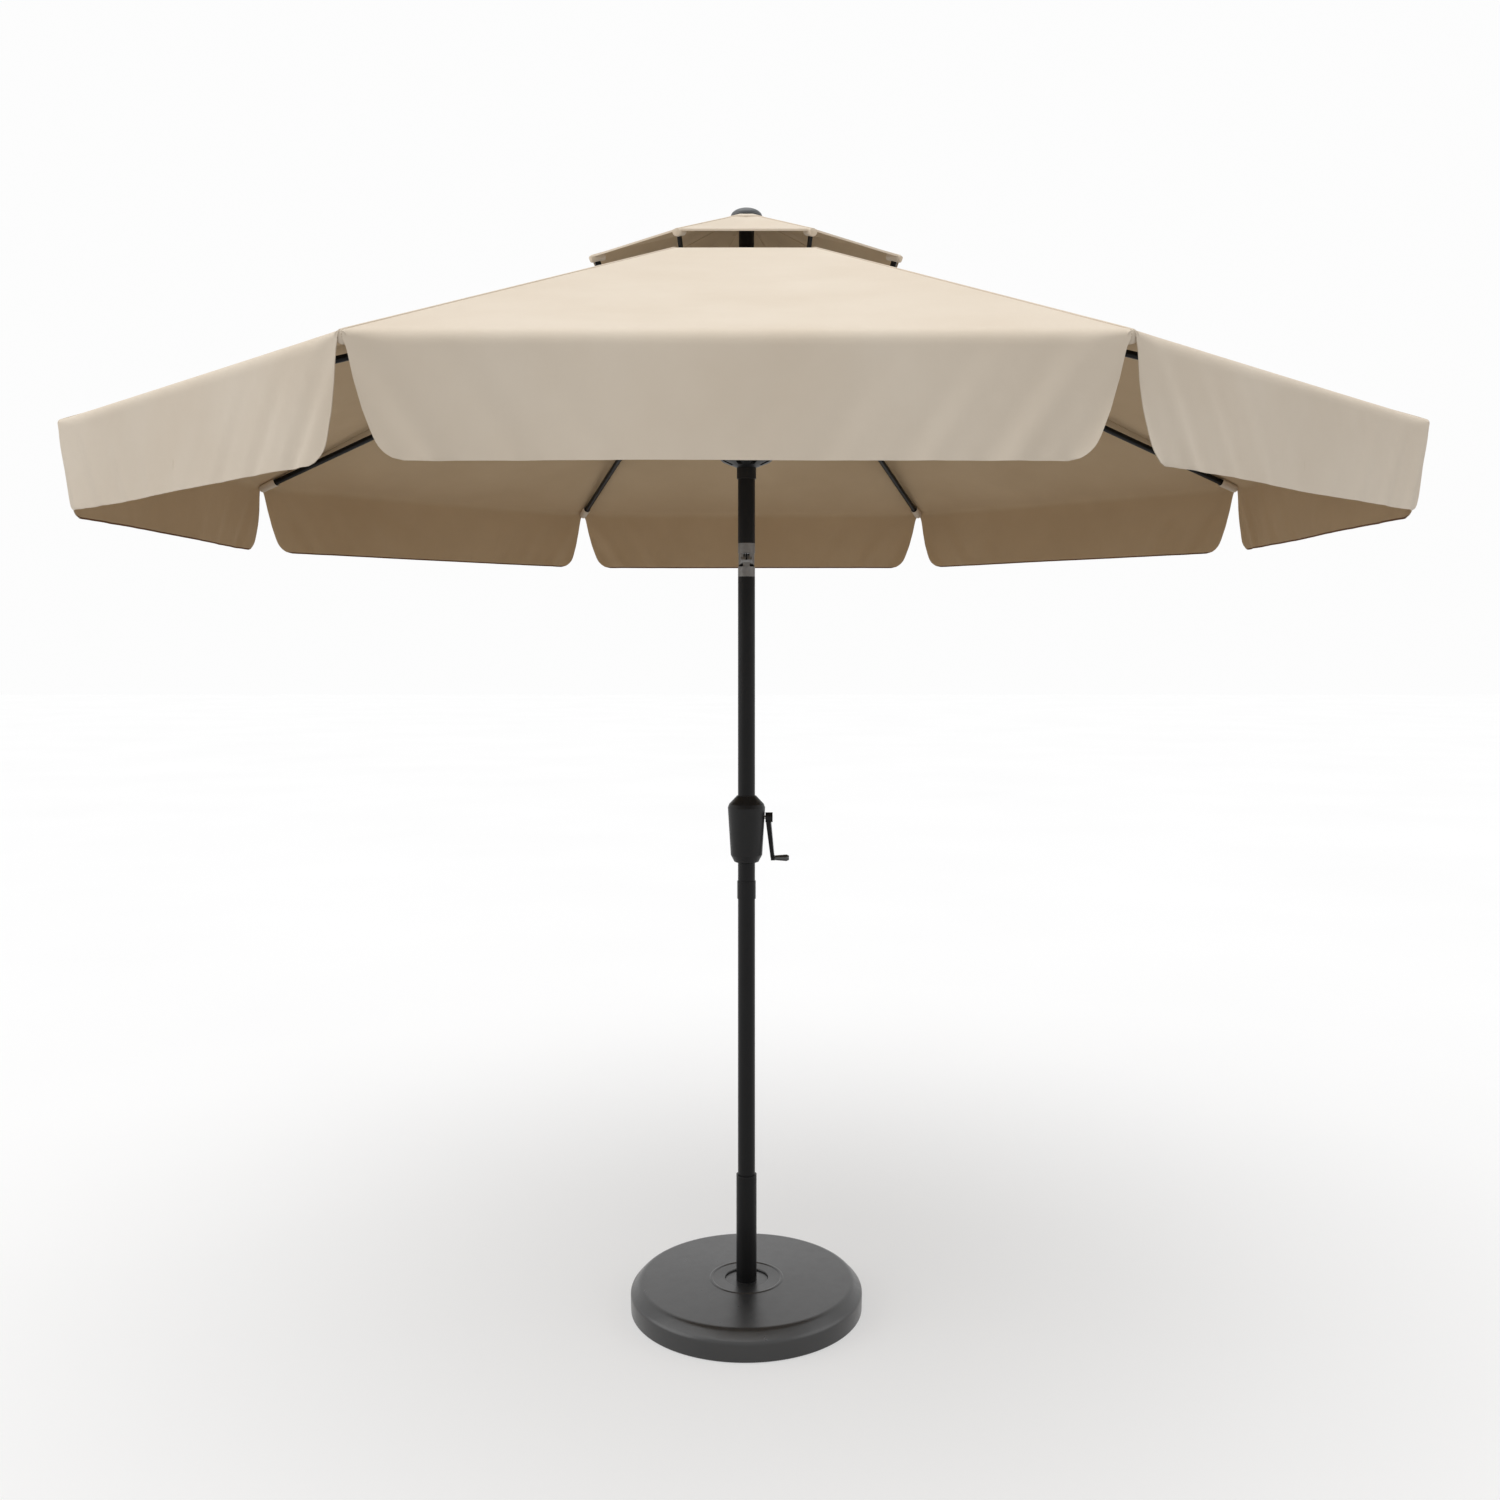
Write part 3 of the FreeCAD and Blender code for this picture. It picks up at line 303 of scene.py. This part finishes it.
def thickened(piece, gauge, side, inside):
    """Cloth of a gauge, to one side of its mesh, with the material so many slots on for its inside."""
    thick = piece.modifiers.new("gauge", "SOLIDIFY")
    thick.thickness = gauge
    thick.offset = side
    thick.material_offset = inside
    bpy.context.view_layer.update()
    seen = piece.evaluated_get(bpy.context.evaluated_depsgraph_get())
    mesh = bpy.data.meshes.new_from_object(seen)
    piece.modifiers.clear()
    piece.data = mesh
    mesh.set_sharp_from_angle(angle=math.radians(CREASE))


def lathe(name, outline, material, sides, sharp):
    """A closed turned shape about Z from a loop of (radius, height)."""
    bm = bmesh.new()
    rings = []
    for n in range(sides):
        angle = 2 * math.pi * n / sides
        rings.append([bm.verts.new((r * math.cos(angle), r * math.sin(angle), z)) for r, z in outline])
    count = len(outline)
    for n in range(sides):
        here, there = rings[n], rings[(n + 1) % sides]
        for i in range(count):
            j = (i + 1) % count
            bm.faces.new((here[i], there[i], there[j], here[j]))
    bmesh.ops.remove_doubles(bm, verts=bm.verts, dist=1e-6)
    bmesh.ops.recalc_face_normals(bm, faces=bm.faces)
    return shown(name, bm, [material], sharp)


def rounded(outline, reaches, steps):
    """An outline with the corners that have a reach, by their number, rounded."""
    out = []
    count = len(outline)
    for i, here in enumerate(outline):
        at = Vector(here)
        if i not in reaches:
            out.append(tuple(at))
            continue
        before, after = Vector(outline[i - 1]), Vector(outline[(i + 1) % count])
        most = 0.45  # share of a side that one corner may take
        reach = min(reaches[i], (before - at).length * most, (after - at).length * most)
        a = at + (before - at).normalized() * reach
        b = at + (after - at).normalized() * reach
        for n in range(steps + 1):
            t = n / steps
            out.append(tuple(a * (1 - t) ** 2 + at * 2 * t * (1 - t) + b * t * t))
    return out


# ---------------------------------------------------------------- canopy

# how far a flap's side leans in from the corner, by share of its depth
FLAP_SIDE = [(0, 0.0), (0.02, 0.0), (0.05, 0.005), (0.14, 0.0105), (0.37, 0.019), (0.6, 0.030),
             (0.8, 0.043), (1, 0.060)]
FLAP_ROWS = 24
FIRST_FLAP_ROW = 3  # the rolled fold stands in for the rows above it
CORNER_ROWS = (0.75, 0.5, 0.33, 0.2, 0.1)  # extra rows, as shares of the corner's radius
FOLD_ROWS = 6
PANEL_ROWS = 24
VENT_ROWS = 10
COLUMNS = 44
ROLL_AT_RIB = 0.007  # where the fold starts to roll over, beside a rib
ROLL_GAIN = 0.011  # and how much earlier it does so away from the rib
ROLL_RUN = 0.06
SAG = 0.009  # of a panel's middle
SAG_RUN = 0.05  # from a rib to where a panel may sag freely
PULL = 0.0016  # height of the slanting creases near a panel's corners
RIPPLE = 0.0006  # height of the small waves along a seam
WAVE = 0.004  # height of a flap's broad waves
FLAP_FOLD = 0.0042  # height of the slanting folds near a flap's ends
PLEAT = 0.0016  # height of the small gathers at a flap's hem
CURL = 0.016  # how far a flap's free end curls in
RIB_POCKET = [(-0.056, 0.0094), (-0.054, 0.0102), (-0.04, 0.0098), (-0.025, 0.0096),
              (-0.010, 0.0098), (-0.0055, 0.0085), (-0.0045, 0.004)]
RIB_POCKET_TOP = 0.0082
VENT_POCKET = [(-0.030, 0.0085), (-0.028, 0.0092), (-0.016, 0.0088), (-0.006, 0.0086),
               (0.0005, 0.0072), (0.0015, 0.003)]
VENT_POCKET_TOP = 0.0052
VENT_POCKET_DEPTH = 0.0065  # of the pocket's centre line under the vent tier
POCKET_GAUGE = 0.0008
POCKET_SIDES = 28
POCKET_SPREAD = 0.35  # how much wider a pocket is where it is sewn on


def side_lean(depth):
    """How far the flap's side leans in at a share of its depth."""
    for (a, low), (b, high) in zip(FLAP_SIDE, FLAP_SIDE[1:]):
        if depth <= b:
            t = (depth - a) / (b - a)
            return low + (high - low) * t
    return FLAP_SIDE[-1][1]


def corner_round(depth):
    """How far the quarter circle at the flap's lower corner takes its side in."""
    below = depth * FLAP_DROP - (FLAP_DROP - CORNER)
    if below <= 0:
        return 0.0
    return CORNER - math.sqrt(max(CORNER ** 2 - below ** 2, 0))


def panel_sag(panel, w, v):
    """How far a stretched panel lies under its flat plane, w across it and v down it."""
    hang = 4 * w * (1 - w)
    near = min(w, 1 - w)
    pull = math.exp(-near * 7) * math.sin(near * 46 - v * 9 + panel) * v ** 3
    ripple = math.sin(v * 21 + panel * 1.7) * math.exp(-near * 14)
    return SAG * hang * math.sin(math.pi * min(v * 0.93, 1)) + PULL * pull + RIPPLE * ripple


def flap_swing(panel, w, depth):
    """How far the hanging flap stands out of its upright plane."""
    near = min(w, 1 - w)
    far = 1 if w > 0.5 else -1
    seed = panel * 2.1 + far
    wave = math.sin(w * 8.5 + panel * 2.1) + 0.5 * math.sin(w * 17 + panel * 1.3 + 1)
    slant = near * 62 - depth * 6.5 + seed
    fold = math.exp(-near * 5) * (math.sin(slant) + 0.5 * math.sin(slant * 1.9 + seed))
    pleat = math.exp(-near * 8) * math.sin(near * 170 + seed * 3) * depth ** 3
    curl = -CURL * math.exp(-near * 30) * depth ** 1.2
    return (WAVE * wave + FLAP_FOLD * fold) * depth ** 0.8 + PLEAT * pleat + curl


def column_places(width):
    """Distances from the rib across half a panel: a narrow seam, then even columns."""
    clear = SEAM_WIDTH * 1.3
    seam = [0, SEAM_WIDTH * 0.85, SEAM_WIDTH, clear]
    return seam + [clear + (width - clear) * n / (COLUMNS - 3) for n in range(1, COLUMNS - 2)]


def seam_lift(distance):
    """The felled seam stands proud by a layer of cloth."""
    return SEAM_GAUGE if distance < SEAM_WIDTH * 0.9 else 0.0


def roll_reach(place):
    """How far from the fold the cloth starts to turn over into the flap, tighter at a rib."""
    return ROLL_AT_RIB + ROLL_GAIN * min(place / ROLL_RUN, 1)


def wing(name, k, inner, outer, rise, drop, shaped, rows):
    """The cloth on rib k: half of the panel on each side, with the edge that hangs from it."""
    bm = bmesh.new()
    uv = bm.loops.layers.uv.new("cloth")
    area = 0.0
    hem = HEM_WIDTH / drop
    if shaped:
        turns = [n / FOLD_ROWS for n in range(1, FOLD_ROWS + 1)]
        depths = [(n / FLAP_ROWS) * (1 - hem) for n in range(FIRST_FLAP_ROW, FLAP_ROWS + 1)]
        fine = [1 - CORNER / FLAP_DROP * s for s in CORNER_ROWS]
        depths = sorted(set(depths + [d for d in fine if d < 1 - hem])) + [1.0]
    else:
        turns, depths = [], [0.5, 1.0]
    for side in (1, -1):
        panel = k if side > 0 else (k - 1) % RIBS
        near_in, near_out = ridge(k, inner, rise), ridge(k, outer, rise)
        far_in, far_out = ridge(k + side, inner, rise), ridge(k + side, outer, rise)
        mid_in, mid_out = (near_in + far_in) / 2, (near_out + far_out) / 2
        square = (near_out - near_in).cross(mid_in - near_in).normalized()
        if square.z < 0:
            square = -square
        outward = Vector((mid_out.x, mid_out.y, 0)).normalized()
        half_out = (mid_out - near_out).length
        length = (mid_out - mid_in).length

        def on_panel(column, v):
            width = near_in.lerp(near_out, v) - mid_in.lerp(mid_out, v)
            place = column_places(width.length)[column]
            share = place / width.length
            w = share / 2 if side > 0 else 1 - share / 2
            free = min(1, place / SAG_RUN) * (1 - v ** 8)
            lift = seam_lift(place) - panel_sag(panel, w, v) * free
            start, end = near_in.lerp(near_out, v), mid_in.lerp(mid_out, v)
            return start.lerp(end, share) + square * lift, (place, v * length)

        def on_flap(column, depth):
            place = column_places(half_out)[column]
            inset = side_lean(depth) + corner_round(depth) if shaped else 0
            across = inset + (half_out - inset) * place / half_out
            w = across / half_out / 2
            w = w if side > 0 else 1 - w
            swing = flap_swing(panel, w, depth) if shaped else 0
            at = near_out.lerp(mid_out, across / half_out)
            return at + outward * swing + Vector((0, 0, -drop * depth)), (across, length + drop * depth)

        count = len(column_places(half_out))
        grid = []
        last_v = 1 - roll_reach(1) / length if shaped else 1
        for row in range(rows + 1):
            grid.append([on_panel(c, last_v * row / rows) for c in range(count)])
        for turn in turns:
            line = []
            for c in range(count):
                reach = roll_reach(column_places(half_out)[c])
                before, here = on_panel(c, 1 - reach / length), on_panel(c, 1.0)
                after = on_flap(c, reach / drop)
                at = before[0] * (1 - turn) ** 2 + here[0] * 2 * turn * (1 - turn) + after[0] * turn ** 2
                across = here[1][0] * (1 - turn) + after[1][0] * turn
                along = before[1][1] * (1 - turn) + after[1][1] * turn
                line.append((at, (across, along)))
            grid.append(line)
        for depth in depths:
            grid.append([on_flap(c, depth) for c in range(count)])
        made = [[bm.verts.new(at) for at, _ in line] for line in grid]
        for i in range(len(grid) - 1):
            for j in range(count - 1):
                corners = [(i, j), (i + 1, j), (i + 1, j + 1), (i, j + 1)]
                if side < 0:
                    corners.reverse()
                face = bm.faces.new([made[a][b] for a, b in corners])
                area += face.calc_area()
                face.material_index = 3 if i == len(grid) - 2 else 0
                for loop, (a, b) in zip(face.loops, corners):
                    loop[uv].uv = grid[a][b][1]
    bmesh.ops.remove_doubles(bm, verts=bm.verts, dist=2e-5)
    piece = shown(name, bm, [CLOTH, SHADED_INSIDE_CLOTH, HEM, CLOTH, HEM], CREASE)
    thickened(piece, CLOTH_GAUGE, -1, 1)
    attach(piece, f"rib_{k + 1}")
    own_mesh(piece)
    return piece


def sleeve(name, k, start, along, stations, top):
    """A sewn sleeve of cloth on rib k: rings of (place along, radius), flattened on top."""
    bm = bmesh.new()
    out = rib_direction(k)
    level = Vector((-out.y, out.x, 0))
    up = level.cross(along)
    if up.z < 0:
        up = -up
    rings = []
    sides = POCKET_SIDES
    for place, radius in stations:
        ring = []
        for n in range(sides):
            angle = 2 * math.pi * n / sides
            spread = 1 + POCKET_SPREAD * max(0, math.sin(angle)) * abs(math.cos(angle))
            flat = min(math.sin(angle) * radius, top)
            beside = level * math.cos(angle) * radius * spread
            ring.append(bm.verts.new(start + along * place + beside + up * flat))
        rings.append(ring)
    for a, b in zip(rings, rings[1:]):
        for n in range(sides):
            bm.faces.new((a[n], a[(n + 1) % sides], b[(n + 1) % sides], b[n]))
    bm.faces.new(rings[-1])
    bmesh.ops.recalc_face_normals(bm, faces=bm.faces)
    uv = bm.loops.layers.uv.new("cloth")
    for face in bm.faces:
        for loop in face.loops:
            loop[uv].uv = (loop.vert.co.dot(level) + 0.1, loop.vert.co.dot(along))
    piece = shown(name, bm, [CLOTH], CREASE)
    thickened(piece, POCKET_GAUGE, 1, 0)
    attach(piece, f"rib_{k + 1}")


def pockets(k):
    """The sewn pockets that hold the tip of rib k and the top of its vent prop."""
    out = rib_direction(k)
    along = out * math.cos(SLOPE) - Vector((0, 0, math.sin(SLOPE)))
    tip = out * TIP_RADIUS + Vector((0, 0, TIP_HEIGHT))
    sleeve(f"rib_pocket_{k + 1}", k, tip, along, RIB_POCKET, RIB_POCKET_TOP)
    fall = out * math.cos(CLOTH_SLOPE) - Vector((0, 0, math.sin(CLOTH_SLOPE)))
    corner = ridge(k, VENT_EDGE, CLOTH_RISE + VENT_RISE - VENT_POCKET_DEPTH)
    sleeve(f"vent_pocket_{k + 1}", k, corner, fall, VENT_POCKET, VENT_POCKET_TOP)


def crown():
    """The octagonal cap of cloth sewn round the finial, over the vent's upper edge."""
    bm = bmesh.new()
    uv = bm.loops.layers.uv.new("cloth")
    rise = CLOTH_RISE + VENT_RISE + CROWN_LIFT
    rings = []
    down, across = 5, 6
    for row in range(down + 1):
        radius = CROWN_INNER + (CROWN_EDGE - CROWN_INNER) * row / down
        ring = []
        for k in range(RIBS):
            start, end = ridge(k, radius, rise), ridge(k + 1, radius, rise)
            ring += [bm.verts.new(start.lerp(end, n / across)) for n in range(across)]
        rings.append(ring)
    rings.append([bm.verts.new(v.co - Vector((0, 0, CROWN_TURN))) for v in rings[-1]])
    count = len(rings[0])
    for a, b in zip(rings, rings[1:]):
        for n in range(count):
            face = bm.faces.new((a[n], b[n], b[(n + 1) % count], a[(n + 1) % count]))
            for loop in face.loops:
                loop[uv].uv = (0.1 + loop.vert.co.x, loop.vert.co.y)
    bmesh.ops.recalc_face_normals(bm, faces=bm.faces)
    area = sum(face.calc_area() for face in bm.faces)
    piece = shown("vent_crown_cloth", bm, [CLOTH, SHADED_INSIDE_CLOTH], CREASE)
    thickened(piece, CLOTH_GAUGE, -1, 1)
    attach(piece, "head")
    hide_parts("vent_crown")


def canopy():
    """Main cloth with its flaps, vent tier, pockets and crown."""
    for k in range(RIBS):
        main = wing(f"canopy_cloth_{k + 1}", k, VENT_HOLE, TIP_RADIUS, CLOTH_RISE, FLAP_DROP,
                    True, PANEL_ROWS)
        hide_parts(f"canopy_{k + 1}")
        wing(f"vent_cloth_{k + 1}", k, VENT_INNER, VENT_EDGE, CLOTH_RISE + VENT_RISE, VENT_DROP,
             False, VENT_ROWS)
        pockets(k)
    crown()


# ---------------------------------------------------------------- base, housing and finial


def base_cover():
    """The moulded cover with rounded edges and a raised ring."""
    low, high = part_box("base_cover")
    radius, ring_top = high.x, high.z
    top = ring_top - 0.0015
    outline = [
        (radius - 0.001, low.z), (radius, 0.042), (radius - 0.02, top), (0.082, top),
        (0.080, ring_top), (0.076, ring_top), (0.074, top), (0.048, top), (0.0475, top - 0.003),
        (radius - 0.022, top - 0.003), (radius - 0.003, 0.0405), (radius - 0.003, low.z),
    ]
    reaches = {0: 0.002, 1: 0.006, 2: 0.007, 3: 0.002, 4: 0.001, 5: 0.001, 6: 0.002, 7: 0.002}
    piece = lathe("base_cover_moulded", rounded(outline, reaches, 5), SLOTS["base_resin"], 160, 30)
    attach(piece, "base")
    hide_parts("base_cover")


def finial():
    """The domed finial with a small bead at its foot."""
    low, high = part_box("finial")
    radius = high.x
    foot = high.z - 0.0217
    rim = foot + 0.004  # where the dome starts
    stud, steps = 0.003, 14
    dome = [(radius * math.cos(t), rim + (high.z - rim) * math.sin(t))
            for t in (math.pi / 2 * n / steps for n in range(steps + 1))]
    dome[-1] = (0, high.z)
    outline = [(0, low.z), (stud, low.z), (stud, foot - 0.002), (radius - 0.006, foot),
               (radius - 0.001, foot + 0.0005), (radius, foot + 0.002)] + dome
    piece = lathe("finial_dome", outline, SLOTS["finial_plastic"], 64, 50)
    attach(piece, "head")
    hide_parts("finial")


def drop_cord():
    """The lift cord between the pulley and the runner, made at the length of its part; the real span grows as the
    runner goes down.
    """
    low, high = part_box("lift_cord_drop")
    centre = (low + high) / 2
    bm = bmesh.new()
    sides, rows = 12, 120
    radius, strand = 0.00115, 0.0001  # of the cord, and of its four strands' bulge
    rings = []
    for row in range(rows + 1):
        z = low.z + (high.z - low.z) * row / rows
        ring = []
        for n in range(sides):
            angle = 2 * math.pi * n / sides
            out = radius + strand * math.sin(4 * angle + row * 1.3)
            ring.append(bm.verts.new((centre.x + out * math.cos(angle),
                                      centre.y + out * math.sin(angle), z)))
        rings.append(ring)
    for a, b in zip(rings, rings[1:]):
        for n in range(sides):
            bm.faces.new((a[n], a[(n + 1) % sides], b[(n + 1) % sides], b[n]))
    bm.faces.new(list(reversed(rings[0])))
    bm.faces.new(rings[-1])
    piece = shown("lift_cord_span", bm, [SLOTS["cord"]], 60)
    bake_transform(piece)
    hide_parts("lift_cord_drop")


def finishes():
    """Each shown CAD node gets the material of its slot."""
    slots = {s["node"]: s["material_slot"] for s in frame["record"]["subparts"]}
    for name, thing in frame["nodes"].items():
        thing.data.materials.clear()
        thing.data.materials.append(SLOTS[slots[name]])


# ---------------------------------------------------------------- stage

CAMERA = Vector((0.032, -3.118, 1.462))
LENS = 33.7
SENSOR = 36
HORIZON_RISE = 0.06867  # the horizon's height over the picture's middle, as a share of its side
SIDE_SHIFT = -0.00727  # of the picture's side
VIEW_REACH = 200
FLOOR_REACH = 40
FLOOR_GREYS = [(0, (0.44, 0.44, 0.44)), (1, (0.48, 0.48, 0.48))]
FLOOR_GLOW = 0.5  # added where the camera sees the floor
FILL = 0.36  # the surroundings' light on the object
BACKDROP = 0.98  # and what the camera sees of them
SUNS = [  # name, power, spread and course of each soft light
    ("overhead", 1.88, 1.2, (0.08, 0.15, -1)),
    ("left_side", 0.75, 0.9, (1, 0.25, -0.35)),
    ("right_side", 0.45, 0.9, (-1, 0.25, -0.35)),
]


def floor_material():
    """Pale in the picture, and duller in the light it throws back at the object."""
    pale = Nodes("pale_floor")
    shader = pale.shader
    shader.inputs["Roughness"].default_value = 0.9
    shader.inputs["Specular IOR Level"].default_value = 0.0
    pale.link(pale.ramp(pale.noise(0.6, 2), FLOOR_GREYS), shader.inputs["Base Color"])
    glow = pale.add("ShaderNodeEmission")
    glow.inputs["Strength"].default_value = FLOOR_GLOW
    both = pale.add("ShaderNodeAddShader")
    path = pale.add("ShaderNodeLightPath")
    choice = pale.add("ShaderNodeMixShader")
    pale.link(shader.outputs["BSDF"], both.inputs[0])
    pale.link(glow.outputs["Emission"], both.inputs[1])
    pale.link(path.outputs["Is Diffuse Ray"], choice.inputs["Fac"])
    pale.link(both.outputs["Shader"], choice.inputs[1])
    pale.link(shader.outputs["BSDF"], choice.inputs[2])
    pale.link(choice.outputs["Shader"], pale.tree.nodes["Material Output"].inputs["Surface"])
    return pale.material


def stage():
    """A pale floor, soft light from above and both sides, and the camera."""
    floor = bpy.data.meshes.new("floor")
    far = FLOOR_REACH
    corners = [(-far, -far, 0), (far, -far, 0), (far, far, 0), (-far, far, 0)]
    floor.from_pydata(corners, [], [(0, 1, 2, 3)])
    ground = bpy.data.objects.new("floor", floor)
    bpy.context.scene.collection.objects.link(ground)
    floor.materials.append(floor_material())
    world = bpy.data.worlds.new("studio")
    bpy.context.scene.world = world
    world.use_nodes = True
    sky = world.node_tree
    fill = sky.nodes["Background"]
    fill.inputs["Color"].default_value = (1, 1, 1, 1)
    fill.inputs["Strength"].default_value = FILL
    backdrop = sky.nodes.new("ShaderNodeBackground")
    backdrop.inputs["Color"].default_value = (1, 1, 1, 1)
    backdrop.inputs["Strength"].default_value = BACKDROP
    path = sky.nodes.new("ShaderNodeLightPath")
    choice = sky.nodes.new("ShaderNodeMixShader")
    sky.links.new(path.outputs["Is Diffuse Ray"], choice.inputs["Fac"])
    sky.links.new(backdrop.outputs["Background"], choice.inputs[1])
    sky.links.new(fill.outputs["Background"], choice.inputs[2])
    sky.links.new(choice.outputs["Shader"], sky.nodes["World Output"].inputs["Surface"])
    for name, power, spread, course in SUNS:
        lamp = bpy.data.lights.new(name, "SUN")
        lamp.energy = power
        lamp.angle = spread
        holder = bpy.data.objects.new(name, lamp)
        holder.rotation_euler = Vector(course).to_track_quat("-Z", "Y").to_euler()
        bpy.context.scene.collection.objects.link(holder)
    lens = bpy.data.cameras.new("camera")
    lens.lens = LENS
    lens.sensor_width = SENSOR
    lens.shift_y = -HORIZON_RISE
    lens.shift_x = SIDE_SHIFT
    lens.clip_end = VIEW_REACH
    eye = bpy.data.objects.new("camera", lens)
    eye.location = CAMERA
    eye.rotation_euler = (math.pi / 2, 0, 0)
    bpy.context.scene.collection.objects.link(eye)
    bpy.context.scene.camera = eye
    bpy.context.scene.view_settings.view_transform = "Standard"


stage()
finishes()
canopy()
base_cover()
finial()
drop_cord()
